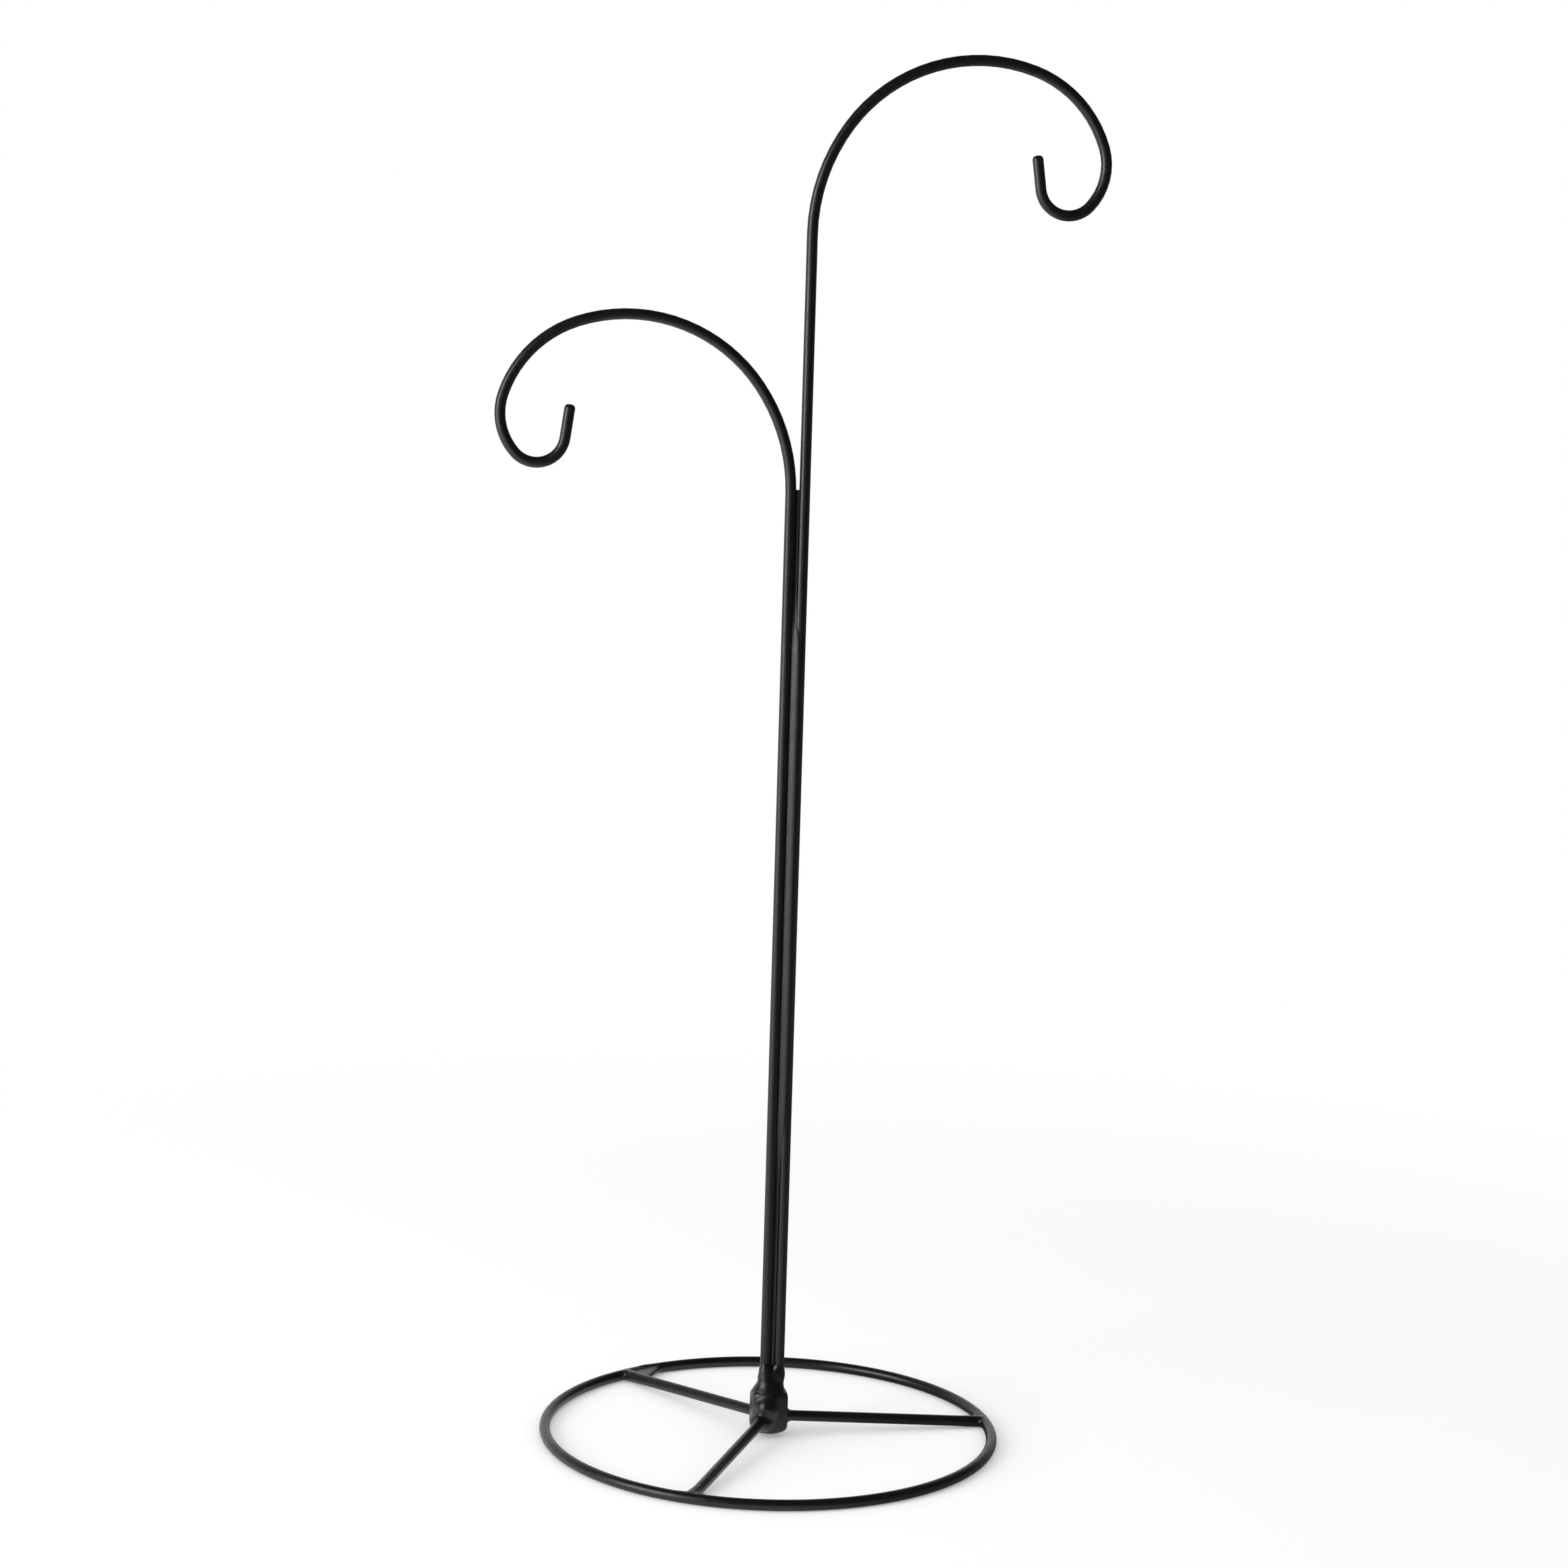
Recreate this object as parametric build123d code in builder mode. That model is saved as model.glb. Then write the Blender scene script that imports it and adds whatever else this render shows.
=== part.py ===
"""Wind chime hanger: two bent wire hooks on one post, which screws into a ring base with three spokes.

Millimetres. The origin is on the table under the post, +Z is up and +X points the way the tall hook reaches.
"""

from build123d import *

import os
from math import cos, degrees, hypot, pi, radians, sin, tan

os.makedirs("parts", exist_ok=True)

# Wire
hook_wire_diameter = 4.0
base_wire_diameter = 4.0

# Post: the two rods stand side by side, with a narrow gap that the seam fills.
# It is welded on a little off the middle of the nut and leans back over it.
rod_gap = 1.0
post_foot_shift = 0.78
post_lean_angle = 0.098
tall_foot_rise = 1.8
socket_floor = 0.3
seam_sink = 1.4
seam_depth_share = 0.65
seam_crown_share = 0.925
seam_crown_above_nut = 95.0
seam_crown_below_fork = 22.0
seam_crown_run = 28.0
fork_rise = 2.4
fork_round = 0.9

# Hooks: both are bent alike, the tall one to the right and the short one to the left
short_bend_height = 349.4
tall_bend_height = 441.8
rise_radius = 66.0
rise_turn = 35.5
arch_radius = 57.4
arch_turn = 73.5
shoulder_radius = 41.2
shoulder_turn = 52.7
lead_radius = 21.1
lead_turn = 60.8
curl_radius = 10.25
curl_turn = 129.5
tip_length = 12.2
tip_round_share = 0.75

# Base ring
ring_radius = 83.0
ring_joint_gap = 1.2

# Hub: a long hexagonal nut
nut_across_flats = 13.0
nut_height = 15.0
nut_lift = 2.0
nut_chamfer_height = 1.0
nut_chamfer_reach = 1.1
nut_mouth_chamfer = 0.5

# Stud: its thread is drawn as rings of the right pitch and depth
stud_diameter = 8.0
thread_pitch = 1.25
thread_depth = 0.7
thread_crest = 0.25
thread_turns = 8
stud_clearance = 0.05
stud_head_length = 2.2
stud_end_play = 0.1

# Spokes
spoke_azimuth = 6.6
rear_spoke_angle = 121.5
front_spoke_angle = 240.0
spoke_rise = 5.5
spoke_end_inset = 1.0

# Weld at the foot of the post: a skirt on the nut, a neck, and a lump before and behind each rod's foot
skirt_margin = 0.3
skirt_lip = 0.5
skirt_height = 3.4
skirt_hollow = 0.5
neck_inset = 0.2
neck_height = 6.4
neck_round = 1.4
lump_skin = 0.4
lump_forward = 1.7
lump_inset = 0.5
short_lump_drop = 0.8
tall_lump_drop = 3.0

# Weld beads at the hub: the front one is full, with a lump above the spoke
hub_bead_radius = 3.0
hub_bead_reach = 2.4
hub_bead_lip = 0.4
bead_skin = 0.15
bead_hollow_share = 0.16
front_bead_radius = 4.4
front_bead_reach = 4.4
front_bead_fullness_share = 0.12
front_lump_radius = 4.0
front_lump_inset = 1.4
front_lump_drop = 5.6

# Weld beads at the ring
ring_bead_toe = 5.2
ring_bead_reach = 7.4
ring_bead_back = 1.3
ring_bead_waist = 3.2
ring_bead_front = 1.2
ring_bead_skin = 0.35
ring_bead_foot = 0.7

# Butt weld in the ring, a little to the right of the rear spoke's bead
butt_bead_length = 7.0
butt_bead_space = 1.6
butt_bead_skin = 0.4
butt_bead_edge = 0.12

# Every cut runs past what it cuts by this much
overrun = 1.0

hook_wire_radius = hook_wire_diameter / 2
base_wire_radius = base_wire_diameter / 2
rod_offset = (hook_wire_diameter + rod_gap) / 2
nut_apothem = nut_across_flats / 2
nut_corner_radius = nut_apothem / cos(pi / 6)
nut_top = nut_lift + nut_height
stud_radius = stud_diameter / 2
stud_hole_radius = stud_radius + stud_clearance
stud_top = nut_top + stud_head_length
stud_tip = nut_top - thread_turns * thread_pitch
socket_roof = stud_top + stud_end_play
rod_foot_height = socket_roof + socket_floor
neck_top = nut_top + neck_height
neck_radius = rod_offset + hook_wire_radius - neck_inset
skirt_radius = nut_corner_radius - nut_chamfer_reach - skirt_margin
lump_radius = hook_wire_radius + lump_skin
lump_sideways = rod_offset - lump_inset
fork_height = short_bend_height + fork_rise
seam_foot_height = neck_top - seam_sink
seam_depth = seam_depth_share * hook_wire_diameter
seam_crown_depth = seam_crown_share * hook_wire_diameter
seam_crown_low = nut_top + seam_crown_above_nut
seam_crown_high = fork_height - seam_crown_below_fork
tip_round = tip_round_share * hook_wire_radius
rear_azimuth = spoke_azimuth + rear_spoke_angle
front_azimuth = spoke_azimuth + front_spoke_angle
ring_joint_setback = ring_bead_toe + butt_bead_space + butt_bead_length / 2
ring_joint_azimuth = rear_azimuth - degrees(ring_joint_setback / ring_radius)
hook_bends = (
    (rise_radius, rise_turn),
    (arch_radius, arch_turn),
    (shoulder_radius, shoulder_turn),
    (lead_radius, lead_turn),
    (curl_radius, curl_turn),
)
slope_length = hypot(ring_radius, spoke_rise)


def spoke_plane(azimuth):
    """Upright plane with its origin on the post's axis and its x along the spoke."""
    turn = radians(azimuth)
    centre = (0, 0, base_wire_radius + spoke_rise)
    out = (ring_radius * cos(turn), ring_radius * sin(turn), -spoke_rise)
    return Plane(origin=centre, x_dir=out, z_dir=(sin(turn), -cos(turn), 0))


def post_middle(height):
    """How far the middle of the post is to the right of the nut's axis at a height."""
    return post_foot_shift - (height - rod_foot_height) * tan(radians(post_lean_angle))


def bent_rod(side, foot_height, bend_height):
    """One wire from its foot to the tip of its hook: side is 1 to the right and -1 to the left."""
    foot_place = side * rod_offset + post_middle(foot_height)
    bend_place = side * rod_offset + post_middle(bend_height)
    foot_plane = Plane(
        origin=(foot_place, 0, foot_height),
        x_dir=(0, 1, 0),
        z_dir=(bend_place - foot_place, 0, bend_height - foot_height),
    )
    with BuildPart() as rod:
        with BuildLine(Plane.XZ) as route:
            run = Line((foot_place, foot_height), (bend_place, bend_height))
            for radius, turn in hook_bends:
                run = JernArc(run @ 1, run % 1, radius, -side * turn)
            tip = Line(run @ 1, run @ 1 + (run % 1) * tip_length)
        with BuildSketch(foot_plane):
            Circle(hook_wire_radius)
        sweep(path=route.line)
        tip_edge = rod.edges().filter_by(GeomType.CIRCLE).sort_by_distance(tip @ 1)[0]
        fillet(tip_edge, tip_round)
    return rod


tall_hook_rod = bent_rod(1, rod_foot_height + tall_foot_rise, tall_bend_height)
tall_hook_rod.part.label = "tall_hook_rod"
short_hook_rod = bent_rod(-1, rod_foot_height, short_bend_height)
short_hook_rod.part.label = "short_hook_rod"

# Seam between the rods: shallow at both ends, nearly full in between, with a round notch at the fork
with BuildPart() as rod_seam_weld:
    with BuildSketch(Plane.YZ.offset(post_foot_shift - rod_offset)):
        with BuildLine():
            Polyline(
                (-seam_depth / 2, seam_foot_height),
                (-seam_depth / 2, seam_crown_low),
                (-seam_crown_depth / 2, seam_crown_low + seam_crown_run),
                (-seam_crown_depth / 2, seam_crown_high - seam_crown_run),
                (-seam_depth / 2, seam_crown_high),
                (-seam_depth / 2, fork_height),
                (seam_depth / 2, fork_height),
                (seam_depth / 2, seam_foot_height),
                close=True,
            )
        make_face()
    extrude(amount=2 * rod_offset - post_foot_shift)
    with BuildSketch(Plane.XZ.offset(-seam_depth / 2 - overrun)):
        with Locations((post_middle(fork_height), fork_height)):
            Circle(fork_round)
    extrude(amount=seam_depth + 2 * overrun, mode=Mode.SUBTRACT)
    add(tall_hook_rod.part, mode=Mode.SUBTRACT)
    add(short_hook_rod.part, mode=Mode.SUBTRACT)
rod_seam_weld.part.label = "rod_seam_weld"

# Stud: a plain head in the weld and rings of thread below it
with BuildPart() as threaded_stud:
    with BuildSketch(Plane.XZ):
        with BuildLine():
            outline = [(0, stud_tip)]
            for ring in range(thread_turns):
                root = stud_tip + ring * thread_pitch
                crest = root + thread_pitch / 2
                outline += [
                    (stud_radius - thread_depth, root),
                    (stud_radius, crest - thread_crest / 2),
                    (stud_radius, crest + thread_crest / 2),
                ]
            outline += [
                (stud_radius - thread_depth, nut_top),
                (stud_radius, nut_top + thread_depth),
                (stud_radius, stud_top),
                (0, stud_top),
            ]
            Polyline(*outline, close=True)
        make_face()
    revolve(axis=Axis.Z)
threaded_stud.part.label = "threaded_stud"

# Hub nut: hexagon with its corners turned off at both ends and a bore with chamfered mouths
with BuildPart() as hub_nut:
    with BuildSketch(Plane.XY.offset(nut_lift)):
        RegularPolygon(nut_corner_radius, 6, rotation=spoke_azimuth + 30)
    extrude(amount=nut_height)
    with BuildSketch(Plane.XZ):
        with BuildLine():
            Polyline(
                (0, nut_lift),
                (nut_corner_radius - nut_chamfer_reach, nut_lift),
                (nut_corner_radius, nut_lift + nut_chamfer_height),
                (nut_corner_radius, nut_top - nut_chamfer_height),
                (nut_corner_radius - nut_chamfer_reach, nut_top),
                (0, nut_top),
                close=True,
            )
        make_face()
    revolve(axis=Axis.Z, mode=Mode.INTERSECT)
    with BuildSketch(Plane.XY.offset(nut_lift)):
        Circle(stud_hole_radius)
    extrude(amount=nut_height, mode=Mode.SUBTRACT)
    chamfer(hub_nut.edges().filter_by(GeomType.CIRCLE).sort_by(SortBy.RADIUS)[:2], nut_mouth_chamfer)
hub_nut.part.label = "hub_nut"

# Base ring: one wire, with its two ends a little apart in the butt weld
joint_half_angle = degrees(ring_joint_gap / 2 / ring_radius)
joint_start = Plane.XZ.rotated((0, 0, ring_joint_azimuth + joint_half_angle))
with BuildPart() as base_ring:
    with BuildSketch(joint_start):
        with Locations((ring_radius, base_wire_radius)):
            Circle(base_wire_radius)
    revolve(axis=Axis.Z, revolution_arc=360 - 2 * joint_half_angle)
base_ring.part.label = "base_ring"

# Butt weld: a barrel round the joint, dressed off a little above the table
joint_turn = radians(ring_joint_azimuth)
joint_plane = Plane(
    origin=(ring_radius * cos(joint_turn), ring_radius * sin(joint_turn), base_wire_radius),
    x_dir=(-sin(joint_turn), cos(joint_turn), 0),
    z_dir=(cos(joint_turn), sin(joint_turn), 0),
)
with BuildPart() as ring_butt_weld:
    with BuildSketch(joint_plane):
        with BuildLine():
            Polyline(
                (-butt_bead_length / 2, base_wire_radius + butt_bead_edge),
                (-butt_bead_length / 2, 0),
                (butt_bead_length / 2, 0),
                (butt_bead_length / 2, base_wire_radius + butt_bead_edge),
            )
            ThreePointArc(
                (butt_bead_length / 2, base_wire_radius + butt_bead_edge),
                (0, base_wire_radius + butt_bead_skin),
                (-butt_bead_length / 2, base_wire_radius + butt_bead_edge),
            )
        make_face()
    revolve(axis=Axis(joint_plane.origin, joint_plane.x_dir))
    split(bisect_by=Plane.XY.offset(ring_bead_foot), keep=Keep.TOP)
    add(base_ring.part, mode=Mode.SUBTRACT)
ring_butt_weld.part.label = "ring_butt_weld"


def straight_spoke(azimuth):
    """A straight wire from the nut's flat to the ring, its ends shaped to what they meet."""
    plane = spoke_plane(azimuth)
    with BuildPart() as wire:
        with BuildSketch(plane):
            with BuildLine():
                Polyline(
                    (nut_apothem - overrun, 0),
                    (nut_apothem - overrun, base_wire_radius),
                    (slope_length - spoke_end_inset, base_wire_radius),
                    (slope_length - spoke_end_inset, 0),
                    close=True,
                )
            make_face()
        revolve(axis=Axis(plane.origin, plane.x_dir))
        add(hub_nut.part, mode=Mode.SUBTRACT)
        add(base_ring.part, mode=Mode.SUBTRACT)
    return wire


def hub_bead(azimuth, spoke, radius, reach, hollow):
    """A weld bead round a spoke where it meets the nut, its side full where hollow is negative."""
    plane = spoke_plane(azimuth)
    foot = (nut_apothem + hub_bead_lip, radius)
    toe = (nut_apothem + reach, base_wire_radius + bead_skin)
    with BuildPart() as bead:
        with BuildSketch(plane):
            with BuildLine():
                Polyline(
                    toe,
                    (nut_apothem + reach, 0),
                    (nut_apothem - overrun, 0),
                    (nut_apothem - overrun, radius),
                    foot,
                )
                SagittaArc(foot, toe, -hollow)
            make_face()
        revolve(axis=Axis(plane.origin, plane.x_dir))
        add(hub_nut.part, mode=Mode.SUBTRACT)
        add(spoke.part, mode=Mode.SUBTRACT)
    return bead


def ring_bead(azimuth, spoke):
    """A weld bead in both corners between a spoke and the ring, with a skin over the top."""
    plane = spoke_plane(azimuth)
    back = slope_length + ring_bead_back
    front = slope_length - ring_bead_front
    end = slope_length - ring_bead_reach
    with BuildPart() as bead:
        with BuildSketch(plane):
            with BuildLine():
                Polyline(
                    (front, ring_bead_toe),
                    (back, ring_bead_waist),
                    (back, 0),
                    (end, 0),
                    (end, base_wire_radius + bead_skin),
                )
                SagittaArc(
                    (end, base_wire_radius + bead_skin),
                    (front, ring_bead_toe),
                    -bead_hollow_share * ring_bead_reach,
                )
            make_face()
        revolve(axis=Axis(plane.origin, plane.x_dir))
        with BuildSketch(plane):
            with BuildLine():
                Polyline(
                    (end - overrun, ring_bead_foot - base_wire_radius),
                    (back + overrun, ring_bead_foot - base_wire_radius),
                    (back + overrun, base_wire_radius + ring_bead_skin),
                    (end - overrun, base_wire_radius + ring_bead_skin),
                    close=True,
                )
            make_face()
        extrude(amount=ring_bead_toe + overrun, both=True, mode=Mode.INTERSECT)
        add(base_ring.part, mode=Mode.SUBTRACT)
        add(spoke.part, mode=Mode.SUBTRACT)
    return bead


spoke_right = straight_spoke(spoke_azimuth)
spoke_right.part.label = "spoke_right"
spoke_rear = straight_spoke(rear_azimuth)
spoke_rear.part.label = "spoke_rear"
spoke_front = straight_spoke(front_azimuth)
spoke_front.part.label = "spoke_front"

hub_bead_hollow = bead_hollow_share * hub_bead_reach
hub_weld_right = hub_bead(spoke_azimuth, spoke_right, hub_bead_radius, hub_bead_reach, hub_bead_hollow)
hub_weld_right.part.label = "hub_weld_right"
hub_weld_rear = hub_bead(rear_azimuth, spoke_rear, hub_bead_radius, hub_bead_reach, hub_bead_hollow)
hub_weld_rear.part.label = "hub_weld_rear"

# Front bead at the hub: a full bead, and a lump on the flat above the spoke
front_turn = radians(front_azimuth)
front_lump_place = (
    (nut_apothem - front_lump_inset) * cos(front_turn),
    (nut_apothem - front_lump_inset) * sin(front_turn),
    nut_top - front_lump_drop,
)
front_wall = Plane(
    origin=((nut_apothem - overrun) * cos(front_turn), (nut_apothem - overrun) * sin(front_turn), nut_top),
    z_dir=(cos(front_turn), sin(front_turn), 0),
)
front_bead_bulge = front_bead_fullness_share * front_bead_reach
front_bead = hub_bead(front_azimuth, spoke_front, front_bead_radius, front_bead_reach, -front_bead_bulge)
with BuildPart() as hub_weld_front:
    with Locations(front_lump_place):
        Sphere(front_lump_radius)
    split(bisect_by=front_wall, keep=Keep.TOP)
    add(hub_nut.part, mode=Mode.SUBTRACT)
    add(spoke_front.part, mode=Mode.SUBTRACT)
    add(front_bead.part)
hub_weld_front.part.label = "hub_weld_front"

ring_weld_right = ring_bead(spoke_azimuth, spoke_right)
ring_weld_right.part.label = "ring_weld_right"
ring_weld_rear = ring_bead(rear_azimuth, spoke_rear)
ring_weld_rear.part.label = "ring_weld_rear"
ring_weld_front = ring_bead(front_azimuth, spoke_front)
ring_weld_front.part.label = "ring_weld_front"

# Foot weld: skirt and neck are turned, with a socket for the stud's head
with BuildPart() as foot_weld:
    with BuildSketch(Plane.XZ):
        with BuildLine():
            Polyline(
                (neck_radius, nut_top + skirt_height),
                (neck_radius, neck_top - neck_round),
                (neck_radius - neck_round, neck_top),
                (0, neck_top),
                (0, socket_roof),
                (stud_hole_radius, socket_roof),
                (stud_hole_radius, nut_top),
                (skirt_radius, nut_top),
                (skirt_radius, nut_top + skirt_lip),
            )
            SagittaArc(
                (skirt_radius, nut_top + skirt_lip),
                (neck_radius, nut_top + skirt_height),
                -skirt_hollow,
            )
        make_face()
    revolve(axis=Axis.Z)
    for forward in (-lump_forward, lump_forward):
        with Locations(
            (post_foot_shift - lump_sideways, forward, neck_top - short_lump_drop),
            (post_foot_shift + lump_sideways, forward, neck_top - tall_lump_drop),
        ):
            Sphere(lump_radius)
    with BuildSketch(Plane.XY.offset(nut_top)):
        Circle(stud_hole_radius)
    extrude(amount=socket_roof - nut_top, mode=Mode.SUBTRACT)
    add(tall_hook_rod.part, mode=Mode.SUBTRACT)
    add(short_hook_rod.part, mode=Mode.SUBTRACT)
    add(rod_seam_weld.part, mode=Mode.SUBTRACT)
foot_weld.part.label = "foot_weld"

export_step(tall_hook_rod.part, "parts/tall_hook_rod.step")
export_step(short_hook_rod.part, "parts/short_hook_rod.step")
export_step(rod_seam_weld.part, "parts/rod_seam_weld.step")
export_step(foot_weld.part, "parts/foot_weld.step")
export_step(threaded_stud.part, "parts/threaded_stud.step")
export_step(hub_nut.part, "parts/hub_nut.step")
export_step(base_ring.part, "parts/base_ring.step")
export_step(ring_butt_weld.part, "parts/ring_butt_weld.step")
export_step(spoke_right.part, "parts/spoke_right.step")
export_step(spoke_rear.part, "parts/spoke_rear.step")
export_step(spoke_front.part, "parts/spoke_front.step")
export_step(hub_weld_right.part, "parts/hub_weld_right.step")
export_step(hub_weld_rear.part, "parts/hub_weld_rear.step")
export_step(hub_weld_front.part, "parts/hub_weld_front.step")
export_step(ring_weld_right.part, "parts/ring_weld_right.step")
export_step(ring_weld_rear.part, "parts/ring_weld_rear.step")
export_step(ring_weld_front.part, "parts/ring_weld_front.step")
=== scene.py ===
from math import cos, pi, radians, sin

import bpy
import numpy as np
from mathutils import Matrix, Vector, noise


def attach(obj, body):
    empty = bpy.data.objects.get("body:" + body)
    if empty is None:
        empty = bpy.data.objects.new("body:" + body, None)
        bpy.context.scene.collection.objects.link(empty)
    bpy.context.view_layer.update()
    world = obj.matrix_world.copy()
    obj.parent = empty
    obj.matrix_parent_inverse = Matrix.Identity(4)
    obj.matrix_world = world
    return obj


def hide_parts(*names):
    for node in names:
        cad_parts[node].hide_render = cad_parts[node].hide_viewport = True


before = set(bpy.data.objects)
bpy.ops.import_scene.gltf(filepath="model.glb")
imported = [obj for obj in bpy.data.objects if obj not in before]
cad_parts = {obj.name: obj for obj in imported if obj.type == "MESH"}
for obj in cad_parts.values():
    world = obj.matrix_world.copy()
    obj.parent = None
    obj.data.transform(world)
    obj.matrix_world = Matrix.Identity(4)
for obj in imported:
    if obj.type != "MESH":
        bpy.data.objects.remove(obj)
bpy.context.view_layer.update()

scene = bpy.context.scene
MM = 0.001

# Sizes of the model, in millimetres
WIRE = 2.0  # radius of every wire
RING = 83.0  # from the axis to the middle of the ring's wire
SPOKE_TOP = 7.5  # height at which the spokes' lines meet the axis
SLOPE = (RING ** 2 + (SPOKE_TOP - WIRE) ** 2) ** 0.5  # length of a spoke's line
ROD = 2.5  # from the post's middle to the middle of either rod
NUT_FLAT, NUT_CORNER = 6.5, 7.506  # from the axis to a flat and to a corner
NUT_LOW, NUT_TOP = 2.0, 17.0
SHIFT = 0.78  # how far to the right of the axis the post is welded on
LEAN = 0.00171  # how far it leans to the left with each millimetre of height
ROD_FOOT = 19.6
FORK = 351.8  # where the rods part

# Directions from the axis
SPOKES = {"right": radians(6.6), "rear": radians(128.1), "front": radians(246.6)}
FLATS = [radians(6.6), radians(66.6), radians(126.6)]
BUTT = radians(120.99)

# Camera, fitted to points measured on the photograph
FOCAL, PHOTO = 3500, 1568  # in pixels
SENSOR = 36.0
CAMERA_PLACE = (-0.10696, -1.25274, 0.4191)
YAW, PITCH, ROLL = radians(4.812), radians(7.911), radians(1.778)
camera = bpy.data.objects.new("photo_camera", bpy.data.cameras.new("photo_camera"))
scene.collection.objects.link(camera)
scene.camera = camera
camera.data.sensor_width = SENSOR
camera.data.lens = FOCAL / PHOTO * SENSOR
camera.data.clip_start = 0.05
camera.data.clip_end = 60.0
ahead = Vector((sin(YAW) * cos(PITCH), cos(YAW) * cos(PITCH), -sin(PITCH)))
level = Vector((cos(YAW), -sin(YAW), 0))
over = level.cross(ahead)
right = level * cos(ROLL) + over * sin(ROLL)
above = over * cos(ROLL) - level * sin(ROLL)
turned = Matrix((right, above, -ahead)).transposed().to_4x4()
camera.matrix_world = Matrix.Translation(CAMERA_PLACE) @ turned


# Nodes of the materials, the world and the floor
def new_material(name):
    material = bpy.data.materials.new(name)
    material.use_nodes = True
    tree = material.node_tree
    tree.nodes.clear()
    return material, tree


def add(tree, kind, values=(), **settings):
    node = tree.nodes.new(kind)
    for key, value in settings.items():
        setattr(node, key, value)
    for key, value in dict(values).items():
        node.inputs[key].default_value = value
    return node


def noise_of(tree, place, scale, detail, roughness=0.5):
    values = {"Scale": scale, "Detail": detail, "Roughness": roughness}
    node = add(tree, "ShaderNodeTexNoise", values)
    tree.links.new(place.outputs["Object"], node.inputs["Vector"])
    return node.outputs["Fac"]


def ramp(tree, source, first, second, start=0.0, end=1.0):
    """The first colour up to the start, the second from the end on, and blended in between."""
    node = add(tree, "ShaderNodeValToRGB")
    for element, at, colour in zip(node.color_ramp.elements, (start, end), (first, second)):
        element.position = at
        element.color = (*colour, 1)
    tree.links.new(source, node.inputs["Fac"])
    return node.outputs["Color"]


def spread(tree, source, start, end, low=0.0, high=1.0, kind="LINEAR"):
    """From low to high while the source goes from start to end."""
    values = {"From Min": start, "From Max": end, "To Min": low, "To Max": high}
    node = add(tree, "ShaderNodeMapRange", values, interpolation_type=kind)
    tree.links.new(source, node.inputs["Value"])
    return node.outputs["Result"]


def ease_in(tree, source, start, end, low=0.0, high=1.0):
    return spread(tree, source, start, end, low, high, "SMOOTHSTEP")


def combine(tree, operation, first, second):
    node = add(tree, "ShaderNodeMath", operation=operation)
    tree.links.new(first, node.inputs[0])
    tree.links.new(second, node.inputs[1])
    return node.outputs["Value"]


def mix(tree, factor, first, second):
    """The first shader where the factor is 0 and the second where it is 1."""
    node = add(tree, "ShaderNodeMixShader")
    tree.links.new(factor, node.inputs["Fac"])
    tree.links.new(first, node.inputs[1])
    tree.links.new(second, node.inputs[2])
    return node.outputs["Shader"]


def white_glow(tree, strength):
    values = {"Color": (1, 1, 1, 1), "Strength": strength}
    return add(tree, "ShaderNodeEmission", values).outputs["Emission"]


def seen_directly(tree, path):
    """1 for rays from the camera and those that glass lets through, else 0."""
    outputs = path.outputs
    return combine(tree, "MAXIMUM", outputs["Is Camera Ray"], outputs["Is Transmission Ray"])


# Materials
def black_paint(name, grain):
    """Semi-gloss black powder coat: uneven in tone and gloss, with a fine orange-peel skin."""
    material, tree = new_material(name)
    link = tree.links.new
    out = add(tree, "ShaderNodeOutputMaterial")
    skin = add(tree, "ShaderNodeBsdfPrincipled", {"Specular IOR Level": 0.5, "Coat Weight": 0.0})
    place = add(tree, "ShaderNodeTexCoord")
    broad = noise_of(tree, place, 55.0, 3.0)
    fine = noise_of(tree, place, 420.0, 3.0, 0.6)
    peel = noise_of(tree, place, 900.0, 2.0, 0.55)
    tone = ramp(tree, broad, (0.0018, 0.002, 0.0019), (0.0046, 0.0048, 0.0049), 0.3, 0.72)
    link(tone, skin.inputs["Base Color"])
    link(spread(tree, fine, 0.3, 0.7, 0.28, 0.4), skin.inputs["Roughness"])
    bump = add(tree, "ShaderNodeBump", {"Strength": grain, "Distance": 0.00012})
    link(peel, bump.inputs["Height"])
    link(bump.outputs["Normal"], skin.inputs["Normal"])
    link(skin.outputs["BSDF"], out.inputs["Surface"])
    return material


def stud_steel():
    """Bright zinc plating, a little dulled in patches."""
    material, tree = new_material("stud_steel")
    link = tree.links.new
    out = add(tree, "ShaderNodeOutputMaterial")
    skin = add(tree, "ShaderNodeBsdfPrincipled", {"Metallic": 1.0})
    place = add(tree, "ShaderNodeTexCoord")
    patches = noise_of(tree, place, 260.0, 3.0)
    tone = ramp(tree, patches, (0.40, 0.41, 0.43), (0.66, 0.66, 0.65))
    link(tone, skin.inputs["Base Color"])
    link(spread(tree, patches, 0.0, 1.0, 0.24, 0.44), skin.inputs["Roughness"])
    link(skin.outputs["BSDF"], out.inputs["Surface"])
    return material


def finish_with(piece, material):
    piece.data.materials.clear()
    piece.data.materials.append(material)


wire_paint = black_paint("black_paint", 0.22)
weld_paint = black_paint("black_paint_welds", 0.4)
steel = stud_steel()
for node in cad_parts.values():
    finish_with(node, wire_paint)


# Fields: about the distance in millimetres to a surface, and below zero inside it.
# p holds the three coordinates of all the points of a grid, in millimetres.
def smooth_min(a, b, k):
    h = np.maximum(k - np.abs(a - b), 0) / k
    return np.minimum(a, b) - h * h * k / 4


def smooth_max(a, b, k):
    return -smooth_min(-a, -b, k)


def ease(t):
    t = np.clip(t, 0, 1)
    return t * t * (3 - 2 * t)


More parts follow.
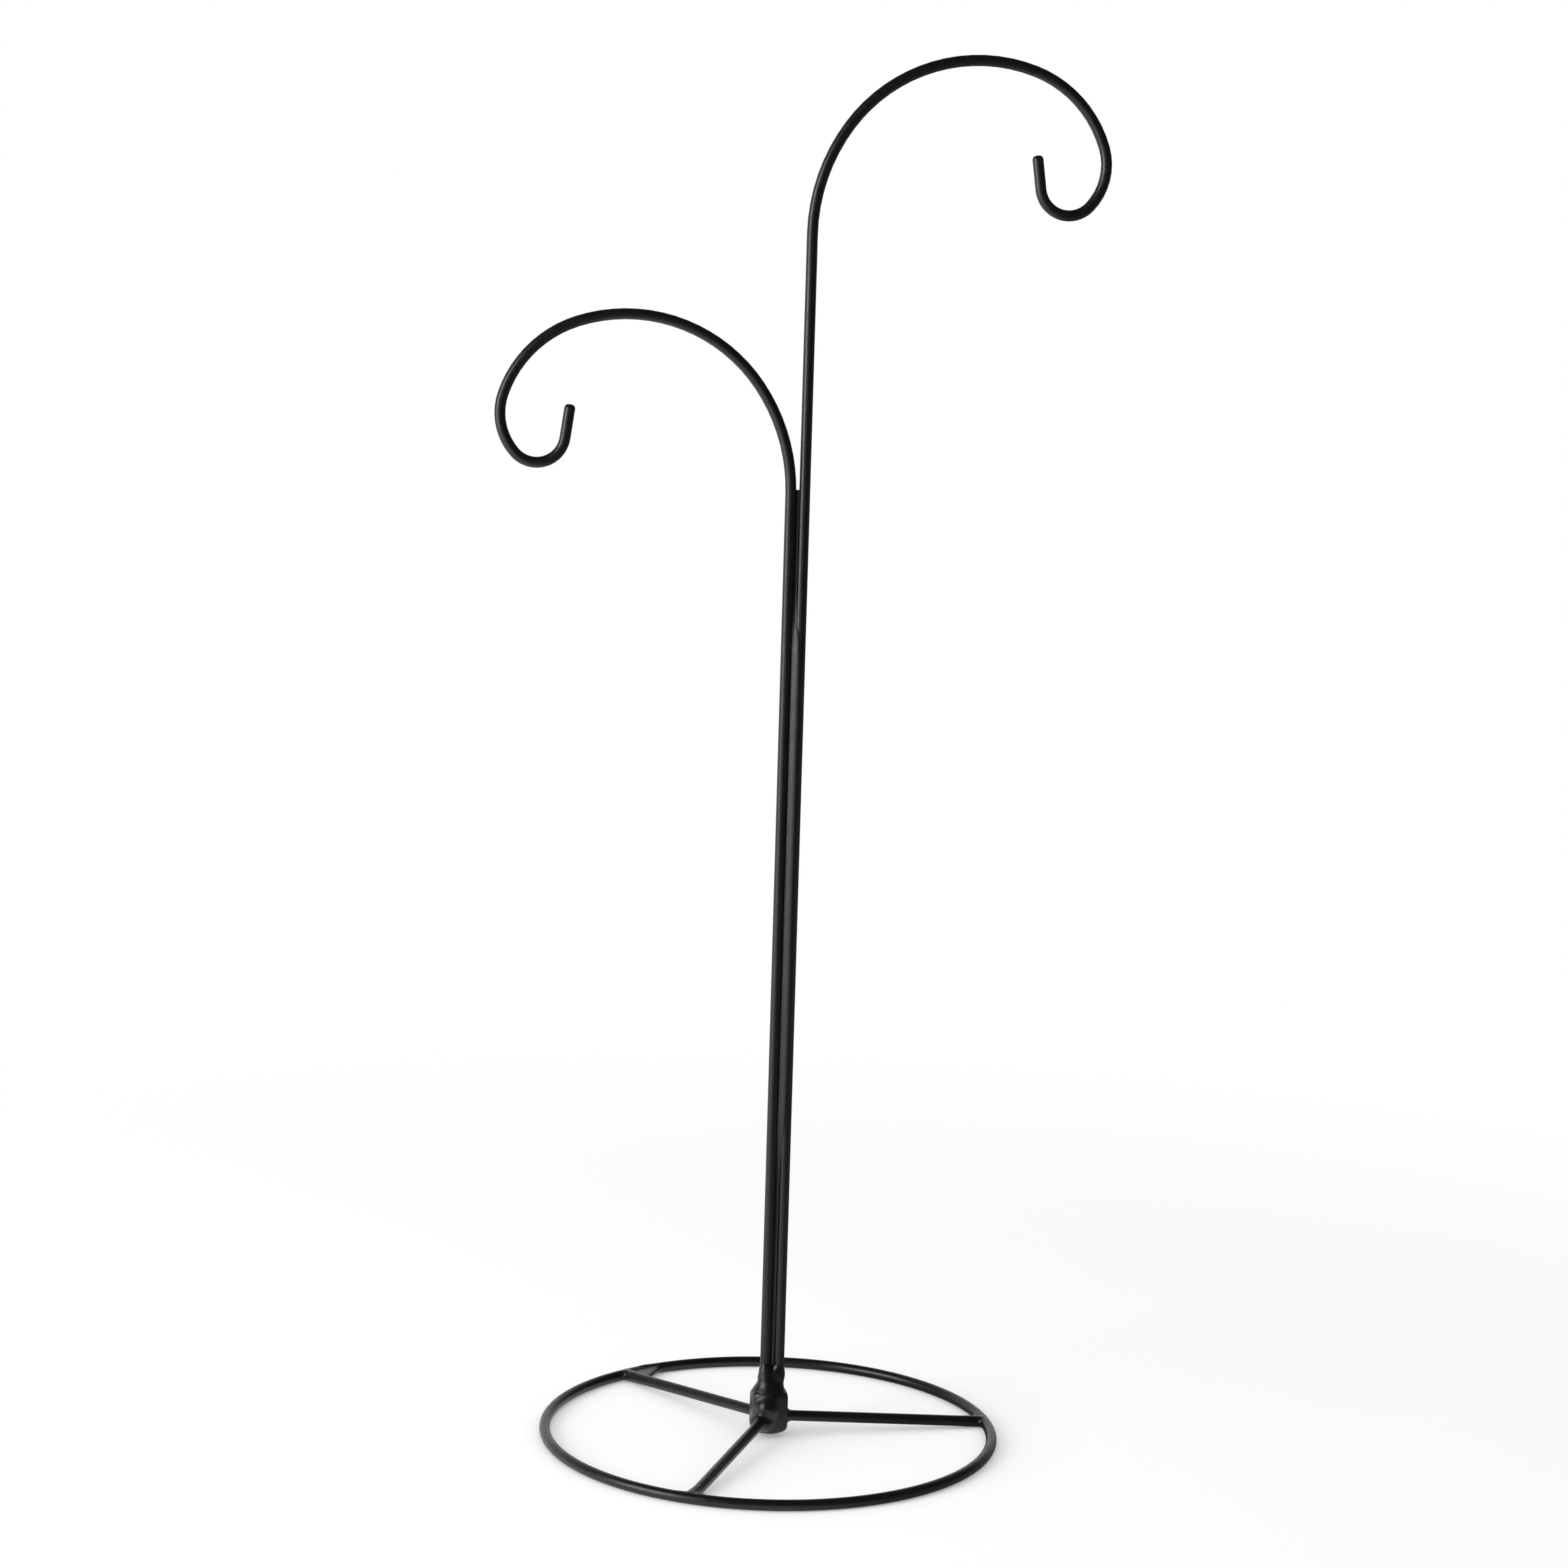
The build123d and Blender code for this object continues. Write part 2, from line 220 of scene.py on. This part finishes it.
def tube_field(p, start, end):
    """A straight wire."""
    d = np.array(end, float) - np.array(start, float)
    x, y, z = (values - at for values, at in zip(p, start))
    t = np.clip((x * d[0] + y * d[1] + z * d[2]) / (d @ d), 0, 1)
    return np.sqrt((x - t * d[0]) ** 2 + (y - t * d[1]) ** 2 + (z - t * d[2]) ** 2) - WIRE


def ring_field(p):
    x, y, z = p
    return np.sqrt((np.hypot(x, y) - RING) ** 2 + (z - WIRE) ** 2) - WIRE


NUT_PAINT = 0.12  # thickness of the paint on the flats
NUT_EDGE = 0.7  # softness of the upright edges
NUT_MIDDLE = 9.5
BEVEL_OUT, BEVEL_UP = 0.68, 0.73  # which way the corners are turned off at both ends
BEVEL_START = 6.5  # from the nut's middle, at the corners
BEVEL_EDGE = 1.1


def nut_field(p, inset):
    """A hexagonal nut whose edges are rounded by thick paint."""
    x, y, z = p
    walls = [np.abs(x * cos(a) + y * sin(a)) for a in FLATS]
    side = smooth_max(smooth_max(walls[0], walls[1], NUT_EDGE), walls[2], NUT_EDGE)
    side = side - NUT_FLAT - NUT_PAINT + inset
    start = NUT_CORNER * BEVEL_OUT + BEVEL_START * BEVEL_UP
    bevel = np.hypot(x, y) * BEVEL_OUT + np.abs(z - NUT_MIDDLE) * BEVEL_UP - start + inset
    side = smooth_max(side, bevel, BEVEL_EDGE)
    return np.maximum(smooth_max(side, NUT_LOW + inset - z, 0.5), z - NUT_TOP + inset)


def lump_field(p, centre, half, turn=0.0):
    """An ellipsoid turned about the vertical."""
    x, y, w = (values - at for values, at in zip(p, centre))
    u = x * cos(turn) + y * sin(turn)
    v = -x * sin(turn) + y * cos(turn)
    reach = np.sqrt((u / half[0]) ** 2 + (v / half[1]) ** 2 + (w / half[2]) ** 2)
    slope = (u / half[0] ** 2) ** 2 + (v / half[1] ** 2) ** 2 + (w / half[2] ** 2) ** 2
    return reach * (reach - 1) / (np.sqrt(slope) + 1e-6)


# Meshes
def new_piece(mesh, material):
    """The piece of a finished mesh, smooth but for end faces with more than four corners."""
    smooth = [len(face.vertices) == 4 for face in mesh.polygons]
    mesh.polygons.foreach_set("use_smooth", smooth)
    mesh.update()
    piece = bpy.data.objects.new(mesh.name, mesh)
    scene.collection.objects.link(piece)
    finish_with(piece, material)
    return piece


SEED_STEP = 7.3
WAVES = ((0.35, 0.8), (0.8, 0.2))  # scale and share of the unevenness of a weld


def skin_mesh(name, box, step, field, rough, seed, still=None):
    """A weld: a closed, slightly uneven mesh round where the field is below zero in the box.

    Each cell of the grid that the surface passes through gives one vertex, and each edge
    of the grid that it crosses gives one face. Points that still picks out stay even.
    """
    low, high = box
    axes = [np.arange(a - step, b + 2 * step, step) for a, b in zip(low, high)]
    x, y, z = np.meshgrid(*axes, indexing="ij")
    walls = [low[0] - x, x - high[0], low[1] - y, y - high[1], low[2] - z, z - high[2]]
    f = np.maximum(field((x, y, z)), np.maximum.reduce(walls))
    points = np.stack([x, y, z], -1)
    total = np.zeros(tuple(n - 1 for n in f.shape) + (3,))
    count = np.zeros(tuple(n - 1 for n in f.shape))

    def part(array, shift):
        """The values at one corner of all the cells."""
        return array[tuple(slice(s, n - 1 + s) for s, n in zip(shift, array.shape))]

    for a in [(i, j, k) for i in (0, 1) for j in (0, 1) for k in (0, 1)]:
        for axis in range(3):
            if a[axis]:
                continue
            b = tuple(1 if n == axis else a[n] for n in range(3))
            fa, fb = part(f, a), part(f, b)
            crosses = (fa < 0) != (fb < 0)
            t = np.where(crosses, fa / np.where(crosses, fa - fb, 1), 0)
            at = part(points, a) + t[..., None] * (part(points, b) - part(points, a))
            total += np.where(crosses[..., None], at, 0)
            count += crosses
    used = count > 0
    ids = np.full(count.shape, -1)
    ids[used] = np.arange(used.sum())
    verts = total[used] / count[used][:, None]

    faces = []
    inside = f < 0
    for axis in range(3):
        p, q = (axis + 1) % 3, (axis + 2) % 3
        near = inside.take(range(f.shape[axis] - 1), axis)
        far = inside.take(range(1, f.shape[axis]), axis)
        for turn_over, edges in ((False, near & ~far), (True, ~near & far)):
            at = np.argwhere(edges)
            at = at[(at[:, p] > 0) & (at[:, q] > 0)]
            loop = []
            for dp, dq in ((1, 1), (0, 1), (0, 0), (1, 0)):
                cell = at.copy()
                cell[:, p] -= dp
                cell[:, q] -= dq
                loop.append(ids[cell[:, 0], cell[:, 1], cell[:, 2]])
            quad = np.stack(loop, 1)
            faces.append(quad[:, ::-1] if turn_over else quad)
    faces = [tuple(int(n) for n in face) for face in np.concatenate(faces)]
    mesh = bpy.data.meshes.new(name)
    mesh.from_pydata([tuple(vert) for vert in verts * MM], [], faces)
    mesh.update()

    normals = np.array([vertex.normal for vertex in mesh.vertices])
    for vertex, normal in zip(mesh.vertices, normals):
        at = Vector(vertex.co) / MM
        if still and still(at):
            continue
        at = at + Vector((seed * SEED_STEP, 0, 0))
        shift = sum(noise.noise(at * scale) * share for scale, share in WAVES)
        vertex.co = Vector(vertex.co) + Vector(normal) * (shift * rough * MM)
    piece = new_piece(mesh, weld_paint)
    return piece


def along(turn, reach, left=0.0, rise=0.0):
    """A point given by its distance along a spoke's line, to its left and above it."""
    z = SPOKE_TOP - (SPOKE_TOP - WIRE) * reach / SLOPE
    x = reach * cos(turn) - left * sin(turn)
    y = reach * sin(turn) + left * cos(turn)
    return (x, y, z + rise)


def box_at_spoke(turn, reaches, lefts, heights):
    """The upright box round a stretch of a spoke: its lowest and its highest corner."""
    corners = np.array([along(turn, reach, left) for reach in reaches for left in lefts])
    low, high = corners.min(0), corners.max(0)
    return (low[0], low[1], heights[0]), (high[0], high[1], heights[1])


# Welds at the ring: a skin round both wires and a flat web in each corner between them.
# A corner has the web's length along the spoke and along the ring, and how hollow its
# edge is, first to the right of the spoke and then to its left. The tilt is how much the
# web rises with each millimetre towards the hub, and the edge is its softness.
WEBS = {
    "right": {"corners": ((5.0, 4.6, 0.7), (11.5, 7.8, 0.7)), "tilt": 0.06, "edge": 1.2},
    "rear": {"corners": ((13.5, 19.0, 0.1), (4.0, 3.8, 0.7)), "tilt": 0.04, "edge": 1.6},
    "front": {"corners": ((7.0, 6.0, 0.7), (6.5, 5.4, 0.7)), "tilt": 0.06, "edge": 1.2},
}
WEB_HALF = 1.2  # half a web's thickness
WEB_START = 1.0  # from the middle of the ring's wire
WEB_OVERLAP = 0.5  # past the middle of the spoke
SPOKE_END = SLOPE - 2.4
SKIN_COAT = 0.05  # how far the skin stands off the wires at the joint
SKIN_FADE_FROM, SKIN_FADE = 3.5, 0.03  # from there on it sinks below their surface
SKIN_FADE_OUTSIDE = 0.1
SKIN_LOW = 0.5  # above the table


def ring_weld(p, turn, webs):
    x, y, z = p
    inward = RING - np.hypot(x, y)
    across = y * cos(turn) - x * sin(turn)
    spoke = tube_field(p, along(turn, 60), along(turn, SPOKE_END))
    fade = SKIN_FADE * np.maximum(np.hypot(inward - 2, across) - SKIN_FADE_FROM, 0)
    wires = smooth_min(ring_field(p), spoke, 1.2) - SKIN_COAT + fade
    wires = wires + SKIN_FADE_OUTSIDE * np.maximum(-inward, 0)
    sides = []
    for hand, (reach, width, hollow) in zip((-1, 1), webs["corners"]):
        far = np.maximum(inward / reach, 0)
        wide = np.maximum(hand * across / width, 0)
        edge = (far + wide + hollow * far * wide - 1) * reach * width / np.hypot(reach, width)
        sides.append(np.maximum(edge, -hand * across - WEB_OVERLAP))
    web = np.maximum(np.minimum(*sides), WEB_START - inward)
    flat = np.abs(z - WIRE - webs["tilt"] * inward) - WEB_HALF
    web = smooth_max(web, flat, webs["edge"])
    return np.maximum(smooth_min(wires, web, 1.5), SKIN_LOW - z)


# Welds at the hub: a low fillet round the spoke, and in front a heavy lump as well
HUB_INSET = 0.12  # keeps the skin under the nut's surface where there is no weld
HUB_FADE_FROM, HUB_FADE = 9.5, 0.08  # from there on the skin sinks into the spoke
HUB_START = 4.8  # keeps the skin out of the bore
LOW_POOL = (1.5, 2.8, 2.7)
FRONT_POOL = (3.4, 4.3, 3.4)
FRONT_LUMP = (4.6, 4.5, 4.6)


def hub_weld(p, turn, heavy):
    x, y, z = p
    outward = x * cos(turn) + y * sin(turn)
    spoke = tube_field(p, along(turn, 3), along(turn, 30))
    metal = smooth_min(nut_field(p, HUB_INSET), spoke, 1.8)
    metal = metal + HUB_FADE * np.maximum(outward - HUB_FADE_FROM, 0)
    if heavy:
        pool = lump_field(p, along(turn, NUT_FLAT + 0.4, -0.4, -0.6), FRONT_POOL, turn)
        lump = lump_field(p, along(turn, NUT_FLAT - 2.0, 1.0, 4.3), FRONT_LUMP, turn)
        metal = smooth_min(smooth_min(metal, pool, 1.6), lump, 1.4)
    else:
        metal = smooth_min(metal, lump_field(p, along(turn, NUT_FLAT + 0.1), LOW_POOL, turn), 1.2)
    return np.maximum(metal, HUB_START - outward)


for seed, (side, turn) in enumerate(SPOKES.items()):
    box = box_at_spoke(turn, (SLOPE - 17, SLOPE + 3), (-21, 13), (0.3, 5.2))
    piece = skin_mesh(
        "weld_at_ring_" + side, box, 0.22, lambda p: ring_weld(p, turn, WEBS[side]), 0.04, seed)
    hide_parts("ring_weld_" + side)
    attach(piece, "base")

    box = box_at_spoke(turn, (4.4, 13), (-6, 6), (2.1, 16.9))
    piece = skin_mesh(
        "weld_at_hub_" + side, box, 0.22, lambda p: hub_weld(p, turn, side == "front"), 0.09,
        seed + 5)
    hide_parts("hub_weld_" + side)
    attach(piece, "base")


# Butt weld in the ring: a slight swelling
BUTT_SWELL, BUTT_LENGTH = 0.2, 2.4
BUTT_SINK = 0.04  # how far the skin lies under the wire's surface beside the weld


def butt_weld(p):
    x, y, z = p
    offset = -x * sin(BUTT) + y * cos(BUTT)
    swell = BUTT_SWELL * np.exp(-(offset / BUTT_LENGTH) ** 2) - BUTT_SINK
    return np.maximum(ring_field(p) - swell, 0.45 - z)


middle_x, middle_y = RING * cos(BUTT), RING * sin(BUTT)
box = (middle_x - 6, middle_y - 5, 0.2), (middle_x + 6, middle_y + 5, 5)
piece = skin_mesh("weld_in_ring", box, 0.25, butt_weld, 0.12, 11)
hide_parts("ring_butt_weld")
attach(piece, "base")


# Nut, with the edges softened by the paint and the thread's bore left open
BORE = 4.06
BORE_BEVEL = 0.5
BORE_STILL = 5.4  # within this radius the mesh stays even


def nut_skin(p):
    x, y, z = p
    bore = BORE + np.clip(z - NUT_TOP + BORE_BEVEL, 0, BORE_BEVEL)
    bore = bore + np.clip(NUT_LOW + BORE_BEVEL - z, 0, BORE_BEVEL)
    return np.maximum(nut_field(p, 0.0), bore - np.hypot(x, y))


def nut_still(at):
    flat_end = at.z > NUT_TOP - 0.5 or at.z < NUT_LOW + 0.4
    return flat_end or at.x ** 2 + at.y ** 2 < BORE_STILL ** 2


box = (-7.9, -7.9, 1.9), (7.9, 7.9, 17.0)
piece = skin_mesh("painted_nut", box, 0.25, nut_skin, 0.06, 23, nut_still)
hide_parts("hub_nut")
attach(piece, "base")


# Foot of the post: a skirt on the nut, drawn up round the ends of both rods
LEFT_END, RIGHT_END = 22.6, 23.4  # heights of the rods' rounded ends inside the weld
FOOT_FADE_FROM, FOOT_FADE = 25, 0.03  # from there up the skin sinks into the rods
SKIRT_MIDDLE = -0.17
SKIRT, SKIRT_TAPER = 6.3, 0.64  # radius on the nut, and how much narrower each millimetre up
SKIRT_STEEP = 0.84
SKIRT_TAPERED, SKIRT_TOP = 4.6, 21.4  # how high the taper goes on, and the skirt's top
FOOT_LUMPS = (  # place and half sizes
    ((SHIFT - 1.9, -1.1, 22.3), (2.15, 1.9, 3.9)),
    ((SHIFT - 1.9, 1.0, 22.3), (2.1, 1.8, 3.8)),
    ((SHIFT + 2.0, -0.8, 21.8), (1.9, 1.7, 3.6)),
    ((SHIFT + 2.0, 0.8, 21.8), (1.9, 1.7, 3.6)),
)


def post_middle(z):
    return SHIFT - (z - ROD_FOOT) * LEAN


def foot_weld(p):
    x, y, z = p
    ends = []
    for offset, end in ((-ROD, LEFT_END), (ROD, RIGHT_END)):
        start, stop = ((post_middle(height) + offset, 0, height) for height in (end, 40))
        ends.append(tube_field(p, start, stop))
    rods = smooth_min(*ends, 0.6) + FOOT_FADE * np.maximum(z - FOOT_FADE_FROM, 0)
    taper = SKIRT_TAPER * np.clip(z - NUT_TOP, 0, SKIRT_TAPERED)
    skirt = (np.hypot(x - SKIRT_MIDDLE, y) - (SKIRT - taper)) * SKIRT_STEEP
    body = smooth_min(smooth_max(skirt, z - SKIRT_TOP, 0.8), rods, 1.8)
    for place, half in FOOT_LUMPS:
        body = smooth_min(body, lump_field(p, place, half), 2.4)
    return smooth_max(body, NUT_TOP + 0.01 - z, 0.5)


def foot_still(at):
    return at.z < NUT_TOP + 0.3


box = (-7.2, -7.2, 16.9), (7.2, 7.2, 31)
piece = skin_mesh("weld_at_foot", box, 0.2, foot_weld, 0.1, 17, foot_still)
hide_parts("foot_weld")
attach(piece, "upright")


# Seam between the rods: an open groove at both ends, and in between filled by a bead that
# lies more over the right rod. Its front and its back are two sheets joined at the edges.
COLUMNS = 25
LEFT, GROOVE, WIDER = -1.7, 3.4, 1.8  # left edge, width of the groove, and the bead's extra
GROOVE_FLOOR, GROOVE_CURVE, GROOVE_TOP = 0.2, 0.46, 1.8
BEAD_EDGE = 0.3  # depth of the bead's front at the left edge
BEAD_PLACE = (-1.7, 0.7, 1.4, 2.0, 2.4, 3.0, 3.5)
BEAD_SLOPE = (0.65, 0.6, 0.45, 0.15, -0.1, -0.55, -0.9)
BACK_DEPTH = 1.7
SEAM_FOOT = 21.0
NOTCH_FOOT, NOTCH_HALF = 349.0, 0.9  # where the dip between the rods begins, and its width
RIPPLES = ((9.0, 3.0, 0.11, 0.07), (5.0, 1.0, 0.37, 0.03))

heights = np.arange(SEAM_FOOT, NOTCH_FOOT, 1.6)
heights = np.concatenate([heights, np.linspace(NOTCH_FOOT, FORK, 8)])
fill = ease((heights - 88) / 50) * ease((FORK - 31 - heights) / 38)
places = np.linspace(LEFT, LEFT + GROOVE + WIDER, COLUMNS)
slopes = np.interp(places, BEAD_PLACE, BEAD_SLOPE)
rises = (slopes[1:] + slopes[:-1]) / 2 * np.diff(places)
bead = BEAD_EDGE + np.concatenate([[0], np.cumsum(rises)])


def ripple(face, height):
    """The unevenness of a face of the seam at a height."""
    return sum(
        noise.noise(Vector((face * across, depth, height * scale))) * size
        for across, depth, scale, size in RIPPLES)


verts, faces = [], []
for face in (-1, 1):
    for filled, height in zip(fill, heights):
        width = GROOVE + WIDER * max(2 * filled - 1, 0)
        lift = ripple(face, height) * (0.4 + 0.6 * filled)
        up = max(height - NOTCH_FOOT, 0) / (FORK - NOTCH_FOOT)
        for column in range(COLUMNS):
            x = LEFT + width * column / (COLUMNS - 1)
            groove = min(GROOVE_FLOOR + GROOVE_CURVE * x * x, GROOVE_TOP)
            full = bead[column] if face < 0 else BACK_DEPTH + 0.06 * x - x * x / 12
            depth = groove * (1 - filled) + full * filled + lift
            notch = up * max(NOTCH_HALF ** 2 - x * x, 0) ** 0.5
            at = (post_middle(height) + x, face * depth, height - notch)
            verts.append(tuple(value * MM for value in at))
rows = len(heights)
back = rows * COLUMNS  # number of the first vertex of the back
for row in range(rows - 1):
    for column in range(COLUMNS - 1):
        a = row * COLUMNS + column
        b = a + COLUMNS
        faces.append((a, a + 1, b + 1, b))
        faces.append((back + a, back + b, back + b + 1, back + a + 1))
    for column in (0, COLUMNS - 1):
        a = row * COLUMNS + column
        quad = (a, a + COLUMNS, back + a + COLUMNS, back + a)
        faces.append(quad if column == 0 else quad[::-1])
for column in range(COLUMNS - 1):
    top = (rows - 1) * COLUMNS + column
    faces.append((column, back + column, back + column + 1, column + 1))
    faces.append((top, top + 1, back + top + 1, back + top))
mesh = bpy.data.meshes.new("weld_seam")
mesh.from_pydata(verts, [], faces)
piece = new_piece(mesh, weld_paint)
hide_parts("rod_seam_weld")
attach(piece, "upright")

# Stud: a real helical thread, right-handed, with a plain head inside the weld
LEAD = 1.25
STUD_TIP = 7.0
STUD_ROOT, STUD_DEPTH, STUD_PLAIN = 3.3, 0.68, 3.98  # root's radius, depth, head's radius
FLANK = 0.44  # share of the lead in which the thread rises from root to crest
TIP_RADIUS, TIP_BEVEL = 3.0, 0.9
HEAD_FOOT = 16.5
STEPS = 72
levels = list(np.arange(STUD_TIP, NUT_TOP + 0.001, LEAD / 12)) + [17.4, 17.8, 18.5, 19.2]
verts, faces = [], []
for height in levels:
    for step in range(STEPS):
        turn = 2 * pi * step / STEPS
        phase = ((height - STUD_TIP) / LEAD - step / STEPS) % 1.0
        radius = STUD_ROOT + STUD_DEPTH * min(phase / FLANK, (1 - phase) / FLANK, 1.0)
        radius += (STUD_PLAIN - radius) * float(ease(height - HEAD_FOOT))
        radius = min(radius, TIP_RADIUS + (height - STUD_TIP) * TIP_BEVEL)
        verts.append((radius * cos(turn) * MM, radius * sin(turn) * MM, height * MM))
for row in range(len(levels) - 1):
    for step in range(STEPS):
        a, b = row * STEPS + step, row * STEPS + (step + 1) % STEPS
        faces.append((a, b, b + STEPS, a + STEPS))
last = (len(levels) - 1) * STEPS
faces.append(tuple(range(STEPS))[::-1])
faces.append(tuple(range(last, last + STEPS)))
mesh = bpy.data.meshes.new("stud_thread")
mesh.from_pydata(verts, [], faces)
piece = new_piece(mesh, steel)
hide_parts("threaded_stud")
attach(piece, "stud")

# World: a white studio. What the camera sees of it is plain white, and reflections show it
# dimmer behind the camera than ahead of it.
LIGHTER_WAY = (-0.25, 1.0, -0.35)
world = bpy.data.worlds.new("studio")
scene.world = world
world.use_nodes = True
tree = world.node_tree
tree.nodes.clear()
link = tree.links.new
out = add(tree, "ShaderNodeOutputWorld")
path = add(tree, "ShaderNodeLightPath")
place = add(tree, "ShaderNodeTexCoord")
toward = add(tree, "ShaderNodeVectorMath", operation="DOT_PRODUCT")
toward.inputs[1].default_value = LIGHTER_WAY
link(place.outputs["Generated"], toward.inputs[0])
seen, mirrored, lit = (
    add(tree, "ShaderNodeBackground", {"Color": (1, 1, 1, 1), "Strength": strength})
    for strength in (1.0, 1.0, 0.75))
shade = ease_in(tree, toward.outputs["Value"], 0.22, 0.92, 0.04, 0.95)
link(shade, mirrored.inputs["Strength"])
indirect = mix(
    tree, path.outputs["Is Glossy Ray"], lit.outputs["Background"], mirrored.outputs["Background"])
surface = mix(tree, seen_directly(tree, path), indirect, seen.outputs["Background"])
link(surface, out.inputs["Surface"])

# Lamp: one softbox to the left of the camera
SOFTBOX_PLACE, SOFTBOX_TARGET = Vector((-1.42, -0.66, 0.62)), Vector((0, 0, 0.25))
softbox = bpy.data.objects.new("softbox_key", bpy.data.lights.new("softbox_key", "AREA"))
scene.collection.objects.link(softbox)
softbox.data.shape = "RECTANGLE"
softbox.data.size = 1.0
softbox.data.size_y = 1.1
softbox.data.energy = 19
softbox.location = SOFTBOX_PLACE
softbox.rotation_euler = (SOFTBOX_TARGET - SOFTBOX_PLACE).to_track_quat("-Z", "Y").to_euler()
softbox.visible_camera = False

# Floor: pale, plain and large, seen as white except where the object shades it
HALF_FLOOR = 12.0
corners = [(x * HALF_FLOOR, y * HALF_FLOOR, 0) for x, y in ((-1, -1), (1, -1), (1, 1), (-1, 1))]
mesh = bpy.data.meshes.new("floor")
mesh.from_pydata(corners, [], [(0, 1, 2, 3)])
floor = bpy.data.objects.new("floor", mesh)
scene.collection.objects.link(floor)
material, tree = new_material("floor")
link = tree.links.new
out = add(tree, "ShaderNodeOutputMaterial")
path = add(tree, "ShaderNodeLightPath")
place = add(tree, "ShaderNodeTexCoord")
paint = add(tree, "ShaderNodeBsdfDiffuse", {"Color": (0.82, 0.82, 0.82, 1)})
both = add(tree, "ShaderNodeAddShader")
link(paint.outputs["BSDF"], both.inputs[0])
link(white_glow(tree, 0.22), both.inputs[1])
shaded = both.outputs["Shader"]

# Close to the object it takes the shadow, and further out it is plain white like the backdrop
reach = add(tree, "ShaderNodeVectorMath", operation="LENGTH")
link(place.outputs["Object"], reach.inputs[0])
far = ease_in(tree, reach.outputs["Value"], 0.25, 0.7)
view = mix(tree, far, shaded, white_glow(tree, 1.0))

# Painted shade: in reflections the floor is drawn as a dim glow instead of the lit floor, behind
# the camera and to the right of the object, so the wires reflect it dark there
at = add(tree, "ShaderNodeSeparateXYZ")
link(place.outputs["Object"], at.inputs["Vector"])
room = ease_in(tree, at.outputs["Y"], -0.12, -0.5)
beside = ease_in(tree, at.outputs["X"], -0.4, -0.1)
flank = ease_in(tree, at.outputs["X"], -0.01, 0.05, 0.0, 0.78)
painted_shade_area = combine(tree, "MAXIMUM", combine(tree, "MULTIPLY", room, beside), flank)
painted_shade_in_reflections = combine(tree, "MULTIPLY", path.outputs["Is Glossy Ray"], painted_shade_area)
glossy = mix(tree, painted_shade_in_reflections, shaded, white_glow(tree, 0.06))
link(mix(tree, seen_directly(tree, path), glossy, view), out.inputs["Surface"])
finish_with(floor, material)

scene.view_settings.view_transform = "Standard"
